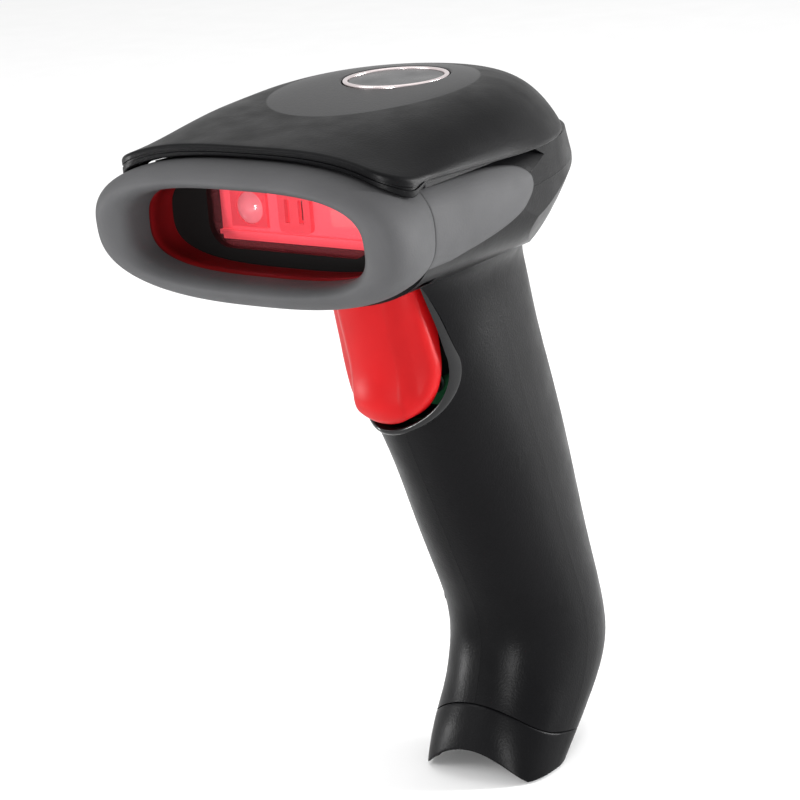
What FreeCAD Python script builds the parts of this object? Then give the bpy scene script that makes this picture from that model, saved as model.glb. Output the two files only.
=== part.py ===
import FreeCAD, Part
import math
import os

# Handheld barcode scanner with a pistol grip. Millimetres. +Z up, the scan mouth faces -Y, X = 0 is the
# mirror plane. The origin is the centre of the rim at the foot of the grip.

V = FreeCAD.Vector
UP = V(0, 0, 1)

# ---------------------------------------------------------------- driving dimensions
HEAD_HALF = 35.0            # half width of the head
COVER_FRONT = -73.5         # front lip of the cover
TAIL_CENTRE = -35.0         # where the straight sides end and the rounded tail begins
COVER_TAIL = 49.4           # length of the cover's tail
COLLAR_TAIL = 51.2          # length of the collar's tail at its top edge, proud of the cover
TRAY_TAIL = 55.6            # length of the tray's tail, the furthest back
TRAY_INSET = 1.0            # the tray's sides stand back from the cover's rim
TRAY_HALF = HEAD_HALF - TRAY_INSET
TRAY_HALF_HEIGHT = 16.9     # from the middle of the nose down to the tray's floor
WALL = 2.0                  # moulded wall
RIDGE = 157.0               # highest line of the cover
PARTING_Z = 136.5           # seam between the upper frame and the tray
FLOOR_Z = 118.0             # flat underside of the tray
NOSE_BACK = -62.0           # joint between nose and side bumpers
NOSE_HALF = 37.6            # the nose swells a little past the head
NOSE_Z = 135.6              # middle of the nose
NOSE_HALF_HEIGHT = 14.6
NOSE_SLANT = 6.0            # degrees: the nose's lower edge lies further back
MOUTH_HALF = 28.6           # half width of the scan mouth
MOUTH_HALF_HEIGHT = 9.3
WING_HALF_HEIGHT = 14.3     # section of the head along the side bumpers
RUBBER_DEPTH = 4.3          # side bumper, from its skin to its seat
FLANGE_Z = 144.1            # underside of the frame's flange, which carries the cover
FLANGE_HALF = 33.0
BADGE_Y = -22.5
BADGE_RADIUS = 11.0

PIVOT_Y = -31.0             # trigger pin
PIVOT_Z = 113.0
PIN_RADIUS = 1.25
RUNNING = 0.05              # radial clearance of the trigger on its pin
SEAT = 0.02                 # radial clearance of a fixed pin or screw
TRIGGER_HALF = 11.7
TRIGGER_MIDDLE_Z = 100.0    # where the trigger's rounded lower end begins
TRIGGER_DROP = 13.7         # from there to its tip
TRIGGER_TOP_Z = 116.8
BEZEL_GAP = 1.2             # air round the trigger
BEZEL_WIDTH = 1.4

SOCKET_Y = 3.0              # modular socket in the foot
SOCKET_MOUTH_Z = 12.0
SCREW_RADIUS = 1.25
SCREW_HEAD = 2.4

# Sections of the grip: height, middle of the section, half length along Y, half width, and roundness of
# the back and of the front (2 is an ellipse, more is squarer).
GRIP = [
    (-5.0, -5.8, 11.8, 14.7, 2.2, 3.0),
    (0.0, -2.8, 13.5, 15.3, 2.2, 2.9),
    (3.5, -0.3, 15.3, 15.6, 2.2, 2.7),
    (9.0, 3.8, 17.9, 15.9, 2.2, 2.4),
    (15.0, 8.2, 19.6, 16.0, 2.2, 2.2),
    (21.0, 10.9, 19.8, 16.0, 2.2, 2.2),
    (28.0, 11.5, 18.7, 16.0, 2.2, 2.2),
    (43.5, 7.4, 19.2, 15.8, 2.2, 2.2),
    (59.0, 2.2, 21.0, 15.8, 2.2, 2.2),
    (75.0, -3.2, 22.8, 15.9, 2.2, 2.15),
    (90.0, -8.5, 23.6, 16.1, 2.2, 2.6),
    (103.0, -12.9, 23.4, 16.4, 2.3, 2.9),
    (111.0, -15.6, 23.4, 16.8, 2.4, 2.9),
]
# The same columns where the grip flares into the tray.
FLARE = [
    (115.5, -17.6, 23.2, 17.8, 2.4, 2.9),
    (118.5, -19.6, 22.8, 19.6, 2.4, 2.8),
    (121.5, -22.6, 23.0, 22.0, 2.4, 2.8),
]
FOOT_Z = -1.4               # height of the foot's rim in the rows above; the finished part stands on zero


# ---------------------------------------------------------------- helpers
def box(x0, x1, y0, y1, z0, z1):
    return Part.makeBox(x1 - x0, y1 - y0, z1 - z0, V(x0, y0, z0))


def rod(radius, start, end):
    start, end = V(*start), V(*end)
    return Part.makeCylinder(radius, (end - start).Length, start, end - start)


def tube(outer, inner, start, end):
    return rod(outer, start, end).cut(rod(inner, start, end))


def oval_points(half_a, half_b, roundness, low_roundness=None, count=32):
    """Points of a superellipse, starting on its first axis; the half below may have its own roundness."""
    points = []
    for i in range(count):
        t = 2 * math.pi * i / count
        c, s = math.cos(t), math.sin(t)
        power = 2.0 / (low_roundness if low_roundness and s < 0 else roundness)
        points.append((half_a * math.copysign(abs(c) ** power, c), half_b * math.copysign(abs(s) ** power, s)))
    return points


def closed_wire(points):
    curve = Part.BSplineCurve()
    curve.interpolate(Points=points, PeriodicFlag=True)
    return Part.Wire([curve.toShape()])


def level_oval(z, y, half_y, half_x, back, front):
    """Horizontal section."""
    return closed_wire([V(a, y + b, z) for a, b in oval_points(half_x, half_y, back, front)])


def upright_oval(y, half_x, half_z, roundness, slant=0.0, middle=NOSE_Z):
    """Section across the nose at y, leaning by slant degrees about its own middle."""
    lean = math.tan(math.radians(slant))
    return closed_wire([V(a, y - b * lean, middle + b) for a, b in oval_points(half_x, half_z, roundness)])


def loft(wires):
    return Part.makeLoft(wires, True, False)


def surface_block(height, u_span, v_span, lift, steps=(25, 25)):
    """Solid between a smooth surface and the same surface moved by lift."""
    rows = []
    for i in range(steps[0]):
        u = u_span[0] + (u_span[1] - u_span[0]) * i / (steps[0] - 1)
        rows.append([height(u, v_span[0] + (v_span[1] - v_span[0]) * j / (steps[1] - 1))
                     for j in range(steps[1])])
    surface = Part.BSplineSurface()
    surface.interpolate(rows)
    return surface.toShape().extrude(lift)


def mirrored(shape):
    return shape.mirror(V(0, 0, 0), V(1, 0, 0))


def arc_path(points):
    """Straight runs joined by tangent arcs, as large as the runs allow."""
    edges = []
    start = points[0]
    for before, corner, after in zip(points, points[1:], points[2:]):
        back, ahead = (before - corner), (after - corner)
        run = 0.45 * min(back.Length, ahead.Length)
        a = corner + back.normalize() * run
        b = corner + ahead.normalize() * run
        turn = math.pi - back.getAngle(ahead)
        radius = run / math.tan(turn / 2)
        middle = corner + (back + ahead).normalize() * (radius / math.cos(turn / 2) - radius)
        edges.append(Part.LineSegment(start, a).toShape())
        edges.append(Part.Arc(a, middle, b).toShape())
        start = b
    edges.append(Part.LineSegment(start, points[-1]).toShape())
    return Part.Wire(edges)


def pipe(points, radius):
    path = arc_path(points)
    direction = points[1] - points[0]
    profile = Part.Wire([Part.makeCircle(radius, points[0], direction)])
    return path.makePipeShell([profile], True, False)


# ---------------------------------------------------------------- head surfaces
def head_outline(half, tail, front, corner=7.0):
    """Seen from above: straight front and sides, rounded tail."""
    y0 = front + corner
    k = corner * (1 - math.sqrt(0.5))
    ellipse = Part.Ellipse(V(0, TAIL_CENTRE + tail, 0), V(half, TAIL_CENTRE, 0), V(0, TAIL_CENTRE, 0))
    tail_arc = Part.ArcOfEllipse(ellipse, -math.pi / 2, math.pi / 2)
    ends = sorted([tail_arc.StartPoint, tail_arc.EndPoint], key=lambda p: p.x)
    edges = [
        tail_arc.toShape(),
        Part.LineSegment(ends[0], V(-half, y0, 0)).toShape(),
        Part.Arc(V(-half, y0, 0), V(-half + k, front + k, 0), V(-half + corner, front, 0)).toShape(),
        Part.LineSegment(V(-half + corner, front, 0), V(half - corner, front, 0)).toShape(),
        Part.Arc(V(half - corner, front, 0), V(half - k, front + k, 0), V(half, y0, 0)).toShape(),
        Part.LineSegment(V(half, y0, 0), ends[1]).toShape(),
    ]
    return Part.Wire(Part.__sortEdges__(edges))


def head_prism(half, tail, front, z0, z1, corner=7.0):
    face = Part.Face(head_outline(half, tail, front, corner))
    return face.extrude(V(0, 0, z1 - z0)).translated(V(0, 0, z0))


def reach(x, y, half, tail):
    """0 on the spine of the head, 1 on its outline."""
    back = max(0.0, y - TAIL_CENTRE)
    return math.hypot(x / half, back / tail)


def smooth(t):
    t = min(1.0, max(0.0, t))
    return t * t * (3 - 2 * t)


def rim_z(y):
    return 144.5 - 0.05 * (y - TAIL_CENTRE)


def ridge_z(y):
    ahead, behind = max(0.0, -15.0 - y) / 58.0, max(0.0, y + 15.0) / 36.0
    return RIDGE - 4.1 * ahead ** 1.8 - 2.4 * behind ** 2


def crown(x, y, drop=0.0):
    edge = rim_z(y) + 1.2
    roundness = 3.4 + 3.1 * smooth((y - COVER_FRONT) / 28.0)
    part = reach(x, y, HEAD_HALF, COVER_TAIL) ** roundness
    return V(x, y, edge + (ridge_z(y) - edge) * (1 - part) - drop)


def crease_z(y):
    return 125.5 + 0.12 * (y + 61.0) + 2.0 * smooth((y + 26.0) / 22.0)


def underside(x, y, lift=0.0):
    t = max(0.0, reach(x, y, TRAY_HALF, TRAY_TAIL) - 0.6) / 0.4
    return V(x, y, FLOOR_Z + (crease_z(y) - FLOOR_Z) * t ** 2.0 + lift)


def under(surface, *extra):
    """Everything below a surface over the head."""
    return surface_block(lambda x, y: surface(x, y, *extra), (-38, 38), (-82, 28), V(0, 0, -60), (39, 56))


def above(surface, *extra):
    return surface_block(lambda x, y: surface(x, y, *extra), (-38, 38), (-82, 28), V(0, 0, 60), (39, 56))



def head_bar(half_x, low, high, length=100.0):
    """Rounded section carried straight back from the nose joint, with its own heights below and above."""
    points = [V(a, NOSE_BACK, NOSE_Z + b * (high if b > 0 else low)) for a, b in oval_points(half_x, 1.0, 2.6)]
    return Part.Face(closed_wire(points)).extrude(V(0, length, 0))


def cavity():
    """Room inside the tray and the upper frame, narrower between the side bumpers, behind a front wall."""
    seat_wall = 1.2
    front = NOSE_BACK + 1.5
    narrow_half = HEAD_HALF - RUBBER_DEPTH - seat_wall
    narrow = head_prism(narrow_half, TRAY_TAIL - 7, front, 100, 170, 2.0)
    wide = head_prism(TRAY_HALF - WALL, COLLAR_TAIL - WALL, front, 100, 170)
    tunnel = loft([upright_oval(y, 29.5, 11.2, 3.0) for y in (-77.0, -60.0)])
    return narrow.fuse([wide.common(box(-40, 40, -18, 40, 100, 170)), tunnel])


# ---------------------------------------------------------------- nose
def nose_skin(grow=0.0, back=NOSE_BACK):
    """Outer form of the nose: straight sides and a rolled front lip."""
    half, high = NOSE_HALF + grow, NOSE_HALF_HEIGHT + grow
    stations = [
        (back, NOSE_HALF - HEAD_HALF, 0.3, 0.0),
        (-69.0, 0.3, 0.1, 3.0),
        (-74.0, 0.0, 0.0, NOSE_SLANT),
        (-77.2, 1.1, 1.2, NOSE_SLANT),
        (-78.7 - grow, 3.1, 3.0, NOSE_SLANT),
    ]
    return loft([upright_oval(y, half - dx, high - dz, 2.6, lean) for y, dx, dz, lean in stations])


def throat(grow=0.0, back=-70.0):
    """The scan mouth, flared at the lip."""
    half, high = MOUTH_HALF + grow, MOUTH_HALF_HEIGHT + grow
    return loft([
        upright_oval(back, half, high, 3.0, 0),
        upright_oval(-75.0, half, high, 3.0, NOSE_SLANT),
        upright_oval(-77.6, half + 0.8, high + 0.5, 3.0, NOSE_SLANT),
        upright_oval(-80.0, half + 2.6, high + 2.0, 3.0, NOSE_SLANT),
    ])


def nose_bezel():
    pocket = loft([upright_oval(y, MOUTH_HALF + 2.4, MOUTH_HALF_HEIGHT + 2.3, 3.0) for y in (-70.0, -61.0)])
    return nose_skin().cut(throat()).cut(pocket)


def light_hood():
    outer = loft([upright_oval(y, MOUTH_HALF + 2.3, MOUTH_HALF_HEIGHT + 2.2, 3.0) for y in (-69.95, NOSE_BACK)])
    inner = loft([upright_oval(y, MOUTH_HALF + 0.6, MOUTH_HALF_HEIGHT + 0.2, 3.0) for y in (-71.0, -60.0)])
    return outer.cut(inner)


def side_bumper():
    """Right-hand wing: a crowned pad with a rounded rear end."""
    skin = head_prism(HEAD_HALF, COLLAR_TAIL, -90, 110, 160)
    seat = head_prism(HEAD_HALF - RUBBER_DEPTH, COLLAR_TAIL - RUBBER_DEPTH, -95, 105, 165)
    band = skin.cut(seat).common(head_bar(HEAD_HALF, WING_HALF_HEIGHT, WING_HALF_HEIGHT))
    top = [V(0, NOSE_BACK, 143.8), V(0, -45, 143.4), V(0, -33, 142.4)]
    tip = [V(0, -28.0, 140.5), V(0, -26.2, 137.4), V(0, -28.6, 134.6)]
    low = [V(0, -36, 131.3), V(0, -47, 129.0), V(0, NOSE_BACK, 126.6)]
    curve = Part.BSplineCurve()
    curve.interpolate(top + tip + low)
    close = Part.LineSegment(low[-1], top[0])
    outline = Part.Face(Part.Wire([curve.toShape(), close.toShape()])).extrude(V(45, 0, 0))
    return band.common(outline)


# ---------------------------------------------------------------- cover, badge and upper frame
COVER_POSTS = [(26.0, -41.0), (-26.0, -41.0)]


def badge_well():
    return rod(BADGE_RADIUS + 0.1, (0, BADGE_Y, RIDGE - 1.6), (0, BADGE_Y, RIDGE + 6))


def top_cover():
    outer = head_prism(HEAD_HALF, COVER_TAIL, COVER_FRONT, 120, 165).common(under(crown))
    inner = head_prism(HEAD_HALF - WALL, COVER_TAIL - WALL, COVER_FRONT + WALL, 120, 165, 5.0)
    inner = inner.common(under(crown, WALL))
    rim = above(lambda x, y: V(x, y, rim_z(y)))
    shell = outer.common(rim).cut(inner)
    posts = [rod(3.0, (x, y, PARTING_Z), (x, y, 157)) for x, y in COVER_POSTS]
    badge_seat = rod(BADGE_RADIUS + 1.5, (0, BADGE_Y, RIDGE - 4), (0, BADGE_Y, RIDGE))
    inside = outer.cut(outer.common(above(crown, 0.8)))
    fill = posts[0].multiFuse(posts[1:] + [badge_seat]).common(inside)
    cover = shell.fuse([fill, rear_hook()]).cut(badge_well()).cut(nose_skin(0.5, -60.0))
    for x, y in COVER_POSTS:
        cover = cover.cut(rod(SCREW_RADIUS + SEAT, (x, y, 135), (x, y, 149)))
    return cover


def rear_hook():
    """Tab at the cover's tail that catches in a slot of the frame."""
    return box(-6.0, 6.0, 11.0, 13.0, 138.5, 145.0).fuse(box(-6.0, 6.0, 12.9, 14.8, 138.5, 139.8))


def badge_ring():
    return tube(BADGE_RADIUS, BADGE_RADIUS - 1.1, (0, BADGE_Y, RIDGE - 1.6), (0, BADGE_Y, RIDGE - 0.1))


def badge_plate():
    return rod(BADGE_RADIUS - 1.15, (0, BADGE_Y, RIDGE - 1.6), (0, BADGE_Y, RIDGE - 0.4))


def bumper_seats():
    seat = side_bumper()
    return seat.fuse(mirrored(seat))


def upper_frame():
    low = head_outline(TRAY_HALF, TRAY_TAIL, NOSE_BACK, 1.0).translated(V(0, 0, PARTING_Z))
    high = head_outline(TRAY_HALF, COLLAR_TAIL, NOSE_BACK, 1.0).translated(V(0, 0, 146.5))
    skin = Part.makeLoft([low, high], True, True)
    curl = Part.BSplineCurve()
    curl.interpolate([V(-40, -28.5, 147), V(-40, -24.5, 144.3), V(-40, -20.0, 142.2), V(-40, -15.8, 139.6),
                      V(-40, -13.6, 136.0), V(-40, -13.0, 130)])
    rest = Part.makePolygon([V(-40, -13.0, 130), V(-40, 30, 130), V(-40, 30, 147), V(-40, -28.5, 147)])
    behind = Part.Face(Part.Wire([curl.toShape()] + rest.Edges)).extrude(V(80, 0, 0))
    flange = head_prism(FLANGE_HALF, COLLAR_TAIL, NOSE_BACK, FLANGE_Z, 150, 1.0)
    bar = head_bar(TRAY_HALF, TRAY_HALF_HEIGHT, WING_HALF_HEIGHT - 0.3)
    under_rim = under(lambda x, y: V(x, y, rim_z(y) - 0.05))
    frame = skin.common(behind.fuse([flange, bar])).common(under_rim).cut(cavity()).cut(bumper_seats())
    return frame.cut(nose_skin(0.05)).cut(box(-6.2, 6.2, 10.0, 15.4, 138.3, 140.1))


# ---------------------------------------------------------------- grip and tray
def grip(rows, inset=0.0):
    return loft([level_oval(z, y, b - inset, a - inset, back, front) for z, y, b, a, back, front in rows])


def tongue(grow, y0, y1, top=TRIGGER_TOP_Z):
    """Outline of the trigger seen from the front, grown by an amount and drawn out along Y."""
    half, drop = TRIGGER_HALF + grow, TRIGGER_DROP + grow
    shoulder = half - 1.0
    middle = TRIGGER_MIDDLE_Z
    if half >= drop:
        arc = Part.Arc(V(-half, 0, middle), V(0, 0, middle - drop), V(half, 0, middle)).toShape()
    else:
        ellipse = Part.Ellipse(V(0, 0, middle - drop), V(half, 0, middle), V(0, 0, middle))
        arc = Part.ArcOfEllipse(ellipse, -math.pi / 2, math.pi / 2).toShape()
    ends = sorted([v.Point for v in arc.Vertexes], key=lambda p: p.x)
    edges = [
        arc,
        Part.LineSegment(ends[1], V(shoulder, 0, top)).toShape(),
        Part.LineSegment(V(shoulder, 0, top), V(-shoulder, 0, top)).toShape(),
        Part.LineSegment(V(-shoulder, 0, top), ends[0]).toShape(),
    ]
    face = Part.Face(Part.Wire(Part.__sortEdges__(edges)))
    return face.extrude(V(0, y1 - y0, 0)).translated(V(0, y0, 0))


def grip_front(x, z):
    """Y of the front of the grip at a place across it and a height."""
    for low, high in zip(GRIP, GRIP[1:]):
        if z <= high[0] or high is GRIP[-1]:
            break
    t = (z - low[0]) / (high[0] - low[0])
    y, half_y, half_x, back, roundness = [a + (b - a) * t for a, b in zip(low[1:], high[1:])]
    across = min(0.985, abs(x) / half_x)
    return y - half_y * (1 - across ** roundness) ** (1 / roundness)


def bezel_front(x, z):
    """Just proud of the grip, sinking into it towards the top, with a finger stop below the trigger's tip."""
    stop = 4.8 * math.exp(-((z - 84.6) / 5.5) ** 2 - (x / 8.5) ** 2)
    return V(x, grip_front(x, z) - 0.6 + 1.3 * smooth((z - 97.0) / 12.0) - stop, z)


def trigger_bezel():
    ring = tongue(BEZEL_GAP + BEZEL_WIDTH, -42, -26, FLOOR_Z - 0.3).cut(tongue(BEZEL_GAP, -44, -20, 125))
    ring = ring.cut(rod(PIN_RADIUS + SEAT, (-20, PIVOT_Y, PIVOT_Z), (20, PIVOT_Y, PIVOT_Z)))
    front = surface_block(bezel_front, (-15.8, 15.8), (76, 122), V(0, 30, 0), (41, 31))
    return ring.common(front)


def seam_z(x, y):
    """Seam between the grip and the base cap: tilted back, arched up across the front."""
    front = smooth((4.0 - y) / 16.0)
    return 6.4 - 0.27 * y + 5.2 * front * max(0.0, 1 - (x / 15.5) ** 2)


def rim_arch_z(x, y):
    """Lower edge of the cap, arched up across the front and cut level elsewhere."""
    front = smooth((-2.0 - y) / 10.0)
    return FOOT_Z - 0.2 + 6.5 * front * max(0.0, 1 - (x / 13.5) ** 2)


def foot_block(height, lift):
    return surface_block(lambda x, y: V(x, y, height(x, y)), (-24, 24), (-26, 38), lift, (25, 33))


HANDLE_SCREWS = [(-13.0, 72.0), (-1.0, 36.0), (12.5, 130.5)]
BOARD_POSTS = [(17.5, -40.0), (-17.5, -40.0), (17.5, -14.0), (-17.5, -14.0)]
BOARD_Z = 129.0
SWITCH_Z = 97.0
SWITCH_BOARD_BACK = -14.4
JACK_BOARD_Z = SOCKET_MOUTH_Z + 14.02


def tray_form():
    tray = head_prism(TRAY_HALF, TRAY_TAIL, NOSE_BACK, 100, PARTING_Z - 0.05, 1.0).common(above(underside))
    return tray.common(head_bar(TRAY_HALF, TRAY_HALF_HEIGHT, WING_HALF_HEIGHT))


def screw_plugs():
    """Caps that close the cover screws' recesses, flush with the tray."""
    tray = tray_form()
    return Part.makeCompound([rod(SCREW_HEAD + 0.28, (x, y, 100), (x, y, 129.15)).common(tray)
                              for x, y in COVER_POSTS])


def body():
    """Tray and grip as one hollow form, before it is split into two shells."""
    tray = tray_form()
    inside = head_bar(TRAY_HALF - WALL, TRAY_HALF_HEIGHT - WALL, 40.0).fuse(box(-40, 40, -75, -55, NOSE_Z - 12, 170))
    room = cavity().common(above(underside, WALL)).common(inside)
    stem = grip(GRIP + FLARE)
    hollow = grip(GRIP + FLARE[:2] + [(130.0, -19.6, 22.8, 17.0, 2.4, 3.0)], WALL)
    outer = tray.fuse(stem)
    shell = outer.cut(room.fuse(hollow))
    shell = shell.cut(bumper_seats()).cut(nose_skin(0.05))
    shell = shell.cut(foot_block(lambda x, y: seam_z(x, y) + 0.1, V(0, 0, -60)))
    bits = [rod(4.0, (x, y, 110), (x, y, PARTING_Z - 0.05)) for x, y in COVER_POSTS]
    bits += [rod(2.6, (x, y, 110), (x, y, BOARD_Z)) for x, y in BOARD_POSTS]
    bits += [rod(3.3, (-20, y, z), (20, y, z)) for y, z in HANDLE_SCREWS]
    bits += [rod(3.2, (s * 10.2, PIVOT_Y, PIVOT_Z), (s * 20, PIVOT_Y, PIVOT_Z)) for s in (-1, 1)]
    bits += [box(-20, 20, SWITCH_BOARD_BACK + 0.02, SWITCH_BOARD_BACK + 2.5, z, z + 3) for z in (84.0, 107.0)]
    bits += [box(s * 14.0 - 6.0, s * 14.0 + 6.0, SOCKET_Y - 4, SOCKET_Y + 9, z, z + 2.0)
             for s in (-1, 1) for z in (JACK_BOARD_Z - 2.02, JACK_BOARD_Z + 1.62)]
    shell = shell.fuse(bits[0].multiFuse(bits[1:]).common(outer))
    holes = []
    for x, y in COVER_POSTS:
        holes.append(rod(SCREW_HEAD + 0.3, (x, y, 100), (x, y, 131.0)))
        holes.append(rod(SCREW_RADIUS + 0.2, (x, y, 100), (x, y, 140.0)))
    for x, y in BOARD_POSTS:
        holes.append(rod(1.0 + SEAT, (x, y, BOARD_Z - 6), (x, y, BOARD_Z + 1)))
    for y, z in HANDLE_SCREWS:
        holes.append(rod(SCREW_RADIUS + SEAT, (-1, y, z), (10.5, y, z)))
        holes.append(rod(SCREW_RADIUS + 0.2, (-20, y, z), (0, y, z)))
        holes.append(rod(SCREW_HEAD + 0.2, (-22, y, z), (-10.0, y, z)))
    holes.append(rod(PIN_RADIUS + SEAT, (-14, PIVOT_Y, PIVOT_Z), (14, PIVOT_Y, PIVOT_Z)))
    shell = shell.cut(holes)
    shell = shell.cut(tongue(BEZEL_GAP + BEZEL_WIDTH + 0.02, -50, -26, FLOOR_Z + 0.1))
    return shell.cut(tongue(BEZEL_GAP - 0.2, -50, -22, FLOOR_Z - 0.3))


def base_cap():
    outer = grip(GRIP[:7])
    inner = grip([(-7.0, -4.4, 13.4, 14.2, 2.4, 2.7)] + GRIP[:8], WALL)
    top = foot_block(seam_z, V(0, 0, -60))
    bottom = foot_block(rim_arch_z, V(0, 0, 60))
    level = box(-40, 40, -40, 60, FOOT_Z, 40)
    wall = outer.cut(inner).common(top).common(bottom).common(level)
    web = outer.common(box(-20, 20, -20, 40, SOCKET_MOUTH_Z - 4.2, SOCKET_MOUTH_Z - 2.2)).common(top)
    hole = box(-7.2, 7.2, SOCKET_Y - 6.2, SOCKET_Y + 6.2, 0, 40)
    return wall.fuse(web.cut(hole))


# ---------------------------------------------------------------- trigger group
def pad_front(x, z):
    """Finger pad: scooped under the head, swelling towards the tip, crowned across, with a facet on each flank."""
    along = -42.4 + 3.8 * smooth((118.0 - z) / 24.0) - 0.7 * math.exp(-((z - 92.5) / 4.5) ** 2 - (x / 6.0) ** 2)
    across = 0.026 * x * x + 1.9 * smooth((abs(x) - 5.5) / 3.2)
    return V(x, along + 0.06 * max(0.0, 92.5 - z) ** 2 + across, z)


def trigger():
    front = surface_block(pad_front, (-16, 16), (80, 124), V(0, 30, 0))
    pad = tongue(0, -48, -30.5).common(front)
    hub = rod(3.0, (-9.8, PIVOT_Y, PIVOT_Z), (9.8, PIVOT_Y, PIVOT_Z))
    rib = box(-2.5, 2.5, -31.5, -26.5, SWITCH_Z - 4, PIVOT_Z)
    seat = rod(2.9, (0, -32, 90.5), (0, -27.5, 90.5))
    bore = rod(PIN_RADIUS + RUNNING, (-20, PIVOT_Y, PIVOT_Z), (20, PIVOT_Y, PIVOT_Z))
    return pad.multiFuse([hub, rib, seat]).cut(bore)


def trigger_pivot_pin():
    return rod(PIN_RADIUS, (-13.9, PIVOT_Y, PIVOT_Z), (13.9, PIVOT_Y, PIVOT_Z))


def trigger_spring():
    """Compression spring of ground twelve-sided wire."""
    length = 10.6
    helix = Part.makeHelix(length / 6.5, length, 2.2)
    corners = [V(2.2 + 0.28 * math.cos(i * math.pi / 6), 0, 0.28 * math.sin(i * math.pi / 6)) for i in range(13)]
    profile = Part.makePolygon(corners)
    coil = Part.Wire(helix).makePipeShell([profile], True, True)
    coil.rotate(V(0, 0, 0), V(1, 0, 0), -90)
    coil.translate(V(0, -27.1, 90.5))
    return coil


def switch_plunger():
    return rod(1.2, (0, -26.1, SWITCH_Z), (0, -21.0, SWITCH_Z))


def micro_switch():
    case = box(-6.2, 6.2, -23.4, -16.1, SWITCH_Z - 3.2, SWITCH_Z + 3.2)
    return case.cut(rod(1.2 + RUNNING, (0, -24, SWITCH_Z), (0, -18.0, SWITCH_Z)))


def switch_pcb():
    return box(-9.0, 9.0, SWITCH_BOARD_BACK - 1.6, SWITCH_BOARD_BACK, 85.0, 109.0)


# ---------------------------------------------------------------- optics
MASK_BACK = -60.5
CARRIER_FACE = -53.0
OPENING_HALF = 20.0
OPENING_LOW, OPENING_HIGH = 129.2, 144.6


def rounded_bar(half_x, z0, z1, y0, y1, radius):
    bar = box(-half_x, half_x, y0, y1, z0, z1)
    return bar.makeFillet(radius, [e for e in bar.Edges if abs(e.tangentAt(0).y) > 0.9])


def optics_mask():
    plate = loft([upright_oval(y, 29.3, 11.0, 3.0) for y in (NOSE_BACK + 0.02, MASK_BACK)])
    return plate.cut(rounded_bar(OPENING_HALF, OPENING_LOW, OPENING_HIGH, -64, -58, 5.0))


def scan_window():
    return rounded_bar(24.0, 126.8, 147.0, MASK_BACK + 0.02, MASK_BACK + 1.22, 3.0)


def window_gasket():
    y0 = MASK_BACK + 1.24
    outer = rounded_bar(24.0, 126.8, 147.0, y0, y0 + 0.8, 3.0)
    ledge = box(-22.0, 22.0, y0 + 0.7, CARRIER_FACE - 0.02, 127.0, 128.3)
    return outer.cut(rounded_bar(22.3, 128.5, 145.3, y0 - 1, y0 + 2, 2.0)).fuse(ledge)


CARRIER_BACK = -49.5
LENS_X, AIMER_X, GUIDE_X = -16.0, -4.5, 12.5
OPTICS_Z = 135.4
ENGINE_SCREWS_X = (-19.5, 19.5)


def optics_carrier():
    plate = box(-24.0, 24.0, CARRIER_FACE, CARRIER_BACK, 128.4, 147.0)
    lip = box(-24.0, 24.0, CARRIER_FACE - 1.0, CARRIER_FACE, 129.6, 130.5)
    carrier = plate.fuse(lip)
    carrier = carrier.cut(rod(3.3, (LENS_X, -60, OPTICS_Z), (LENS_X, -40, OPTICS_Z)))
    carrier = carrier.cut(box(AIMER_X - 2.6, AIMER_X + 2.6, -60, -40, OPTICS_Z - 2.9, OPTICS_Z + 2.9))
    carrier = carrier.cut(box(GUIDE_X - 8.5, GUIDE_X + 8.5, -60, -51.5, OPTICS_Z - 2.6, OPTICS_Z + 2.6))
    return carrier.cut([rod(0.8 + SEAT, (x, -52, 145.0), (x, -40, 145.0)) for x in ENGINE_SCREWS_X])


def imaging_lens():
    ball = Part.makeSphere(4.2, V(LENS_X, CARRIER_FACE + 2.0, OPTICS_Z))
    return ball.common(box(LENS_X - 5, LENS_X + 5, -60, CARRIER_FACE - 0.3, 130, 147)).common(
        rod(3.25, (LENS_X, -60, OPTICS_Z), (LENS_X, -40, OPTICS_Z)))


def lens_frame():
    y0, y1 = CARRIER_FACE - 0.8, CARRIER_FACE - 0.02
    outer = box(LENS_X - 4.8, LENS_X + 4.2, y0, y1, OPTICS_Z - 4.0, OPTICS_Z + 4.0)
    return outer.cut(rod(3.35, (LENS_X, -60, OPTICS_Z), (LENS_X, -40, OPTICS_Z)))


def lens_barrel():
    return tube(3.25, 2.4, (LENS_X, CARRIER_FACE - 0.28, OPTICS_Z), (LENS_X, -48.0, OPTICS_Z))


def image_sensor():
    return box(LENS_X - 3, LENS_X + 3, -47.4, -46.3, OPTICS_Z - 3, OPTICS_Z + 3)


def aimer_bezel():
    y0, y1 = CARRIER_FACE - 1.2, CARRIER_FACE - 0.02
    frame = rounded_bar(4.0, OPTICS_Z - 4.4, OPTICS_Z + 4.4, y0, y1, 1.2)
    frame.translate(V(AIMER_X, 0, 0))
    slots = [box(AIMER_X + x - 0.6, AIMER_X + x + 0.6, -60, -50, OPTICS_Z - 2.4, OPTICS_Z + 2.4)
             for x in (-1.7, 1.7)]
    return frame.cut(slots[0]).cut(slots[1])


def light_guide():
    return box(GUIDE_X - 8.4, GUIDE_X + 8.4, CARRIER_FACE - 0.5, -51.6, OPTICS_Z - 2.5, OPTICS_Z + 2.5)


def engine_pcb():
    board = box(-21.5, 21.5, -46.2, -44.6, 127.0, 147.0)
    return board.cut([rod(0.8 + SEAT, (x, -50, 145), (x, -40, 145)) for x in ENGINE_SCREWS_X])


def illumination_leds():
    return Part.makeCompound([box(GUIDE_X + x - 0.9, GUIDE_X + x + 0.9, -49.4, -46.22, OPTICS_Z - 1, OPTICS_Z + 1)
                              for x in (-5.5, 0, 5.5)])


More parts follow.
